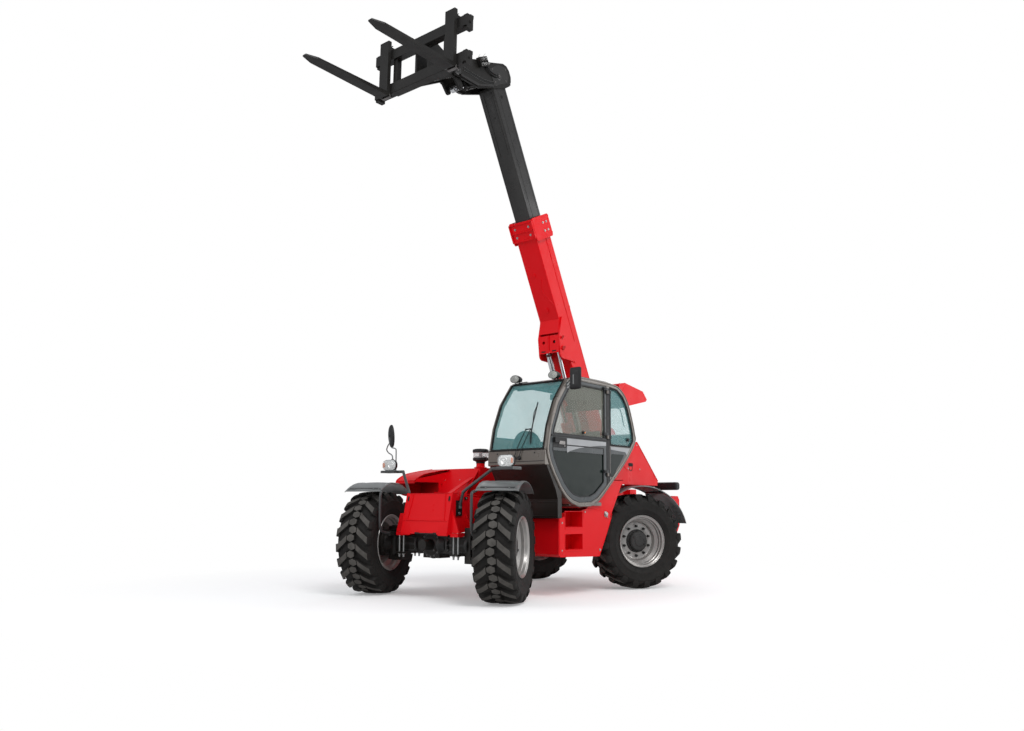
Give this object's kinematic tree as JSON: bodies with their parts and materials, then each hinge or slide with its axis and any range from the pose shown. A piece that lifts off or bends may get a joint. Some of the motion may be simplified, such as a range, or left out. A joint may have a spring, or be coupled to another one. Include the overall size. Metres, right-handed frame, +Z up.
{
  "type": "telehandler",
  "caption": "Rough-terrain telescopic handler with offset cab, raised two-part boom, tilting pallet forks and steered wheels",
  "frame": {"origin": "on the ground, below the middle of the whole machine from tail to fork tips", "axes": "+X forward to the forks, +Y to the operator's left and the door, +Z up"},
  "size_m": [5.4958, 2.7719, 6.7384],
  "materials": {
    "red": "glossy red paint",
    "black": "satin black paint",
    "dark_grey": "satin dark grey paint",
    "cab_metal": "grey-brown metallic paint",
    "rim_silver": "silver-grey paint",
    "tyre": "black rubber",
    "plastic": "black moulded plastic",
    "glass": "lightly tinted clear glass",
    "seat_cover": "dark woven cloth",
    "lens": "clear lens",
    "engine_iron": "dark cast iron",
    "rod_chrome": "polished rod"
  },
  "bodies": {
    "chassis": {"chassis": "red", "body_left": "red", "counterweight": "red", "engine_hood": "red", "engine_block": "engine_iron", "air_intake": "plastic", "front_axle": "black", "rear_axle": "black", "cab_frame": "cab_metal", "cab_roof": "plastic", "cab_front_panel": "cab_metal", "cab_glass": "glass", "windscreen": "glass", "seat": "seat_cover", "steering_column": "plastic", "wiper": "plastic", "lamps": "lens", "lamp_arms": "dark_grey", "mirrors": "plastic", "rear_cowl": "red"},
    "door": {"cab_door": "cab_metal", "door_glass": "glass"},
    "knuckle_fl": {"knuckle_fl": "dark_grey"},
    "knuckle_fr": {"knuckle_fr": "dark_grey"},
    "knuckle_rl": {"knuckle_rl": "dark_grey"},
    "knuckle_rr": {"knuckle_rr": "dark_grey"},
    "wheel_fl": {"rim_fl": "rim_silver", "tyre_fl": "tyre"},
    "wheel_fr": {"rim_fr": "rim_silver", "tyre_fr": "tyre"},
    "wheel_rl": {"rim_rl": "rim_silver", "tyre_rl": "tyre"},
    "wheel_rr": {"rim_rr": "rim_silver", "tyre_rr": "tyre"},
    "boom": {"boom_outer": "red"},
    "inner_boom": {"boom_inner": "black", "boom_head": "black"},
    "fork_carriage": {"carriage": "black", "forks": "black"},
    "lift_barrel": {"lift_barrel": "red"},
    "lift_rod": {"lift_rod": "rod_chrome"},
    "comp_barrel": {"comp_barrel": "red"},
    "comp_rod": {"comp_rod": "rod_chrome"},
    "tilt_barrel": {"tilt_barrel": "black"},
    "tilt_rod": {"tilt_rod": "rod_chrome"}
  },
  "joints": [
    {"name": "boom_lift", "type": "hinge", "parent": "chassis", "child": "boom", "pos_m": [-2.09793, 0, 2.02], "axis": [0, -1, 0], "range_deg": [-71, 5]},
    {"name": "boom_telescope", "type": "slide", "parent": "boom", "child": "inner_boom", "axis": [0.4384, 0, 0.8988], "range_m": [-0.85, 0.85]},
    {"name": "fork_tilt", "type": "hinge", "parent": "inner_boom", "child": "fork_carriage", "pos_m": [1.03271, 0, 6.32868], "axis": [0, 1, 0], "range_deg": [-75, 41]},
    {"name": "front_steer", "type": "hinge", "parent": "chassis", "child": "knuckle_fl", "pos_m": [1.10707, 0.71, 0.61], "axis": [0, 0, 1], "range_deg": [-58, 8]},
    {"name": "steer_fr", "type": "hinge", "parent": "chassis", "child": "knuckle_fr", "pos_m": [1.10707, -0.71, 0.61], "axis": [0, 0, 1], "range_deg": [-58, 8]},
    {"name": "rear_steer", "type": "hinge", "parent": "chassis", "child": "knuckle_rl", "pos_m": [-1.70293, 0.71, 0.61], "axis": [0, 0, 1], "range_deg": [-9, 57]},
    {"name": "steer_rr", "type": "hinge", "parent": "chassis", "child": "knuckle_rr", "pos_m": [-1.70293, -0.71, 0.61], "axis": [0, 0, 1], "range_deg": [-9, 57]},
    {"name": "wheel_spin_fl", "type": "hinge", "parent": "knuckle_fl", "child": "wheel_fl", "pos_m": [0.99357, 0.93275, 0.61], "axis": [-0.454, 0.891, 0], "continuous": true},
    {"name": "wheel_spin_fr", "type": "hinge", "parent": "knuckle_fr", "child": "wheel_fr", "pos_m": [1.19258, -0.94492, 0.61], "axis": [-0.342, 0.9397, 0], "continuous": true},
    {"name": "wheel_spin_rl", "type": "hinge", "parent": "knuckle_rl", "child": "wheel_rl", "pos_m": [-1.59334, 0.9347, 0.61], "axis": [0.4384, 0.8988, 0], "continuous": true},
    {"name": "wheel_spin_rr", "type": "hinge", "parent": "knuckle_rr", "child": "wheel_rr", "pos_m": [-1.78432, -0.94638, 0.61], "axis": [0.3256, 0.9455, 0], "continuous": true},
    {"name": "door_swing", "type": "hinge", "parent": "chassis", "child": "door", "pos_m": [-0.68293, 1.142, 1.9], "axis": [0, 0, 1], "range_deg": [0, 85]},
    {"name": "lift_barrel_turn", "type": "hinge", "parent": "chassis", "child": "lift_barrel", "pos_m": [-1.92793, -0.076, 1.1], "axis": [0, -1, 0], "range_deg": [-53.81, 4.25]},
    {"name": "lift_rod_slide", "type": "slide", "parent": "lift_barrel", "child": "lift_rod", "axis": [0.3915, 0, 0.9202], "range_m": [-0.9172, 0.0692]},
    {"name": "comp_barrel_turn", "type": "hinge", "parent": "chassis", "child": "comp_barrel", "pos_m": [-1.85793, 0.076, 1.23], "axis": [0, -1, 0], "range_deg": [-59.3, 4.64]},
    {"name": "comp_rod_slide", "type": "slide", "parent": "comp_barrel", "child": "comp_rod", "axis": [0.3725, 0, 0.928], "range_m": [-0.9054, 0.0684]},
    {"name": "tilt_barrel_turn", "type": "hinge", "parent": "inner_boom", "child": "tilt_barrel", "pos_m": [0.2682, 0, 6.52911], "axis": [0, 1, 0], "range_deg": [-4.25, 2.55]},
    {"name": "tilt_rod_slide", "type": "slide", "parent": "tilt_barrel", "child": "tilt_rod", "axis": [0.8716, 0, -0.4902], "range_m": [-0.1265, 0.2273]}
  ],
  "couplings": [
    {"joint": "steer_fr", "follows": "front_steer", "ratio": 1},
    {"joint": "steer_rr", "follows": "rear_steer", "ratio": 1},
    {"joint": "lift_barrel_turn", "follows": "boom_lift", "ratio": 0.7508},
    {"joint": "lift_rod_slide", "follows": "boom_lift", "m_per_rad": 0.7361},
    {"joint": "comp_barrel_turn", "follows": "boom_lift", "ratio": 0.8281},
    {"joint": "comp_rod_slide", "follows": "boom_lift", "m_per_rad": 0.7266},
    {"joint": "tilt_barrel_turn", "follows": "fork_tilt", "ratio": 0.05},
    {"joint": "tilt_rod_slide", "follows": "fork_tilt", "m_per_rad": -0.1698}
  ]
}
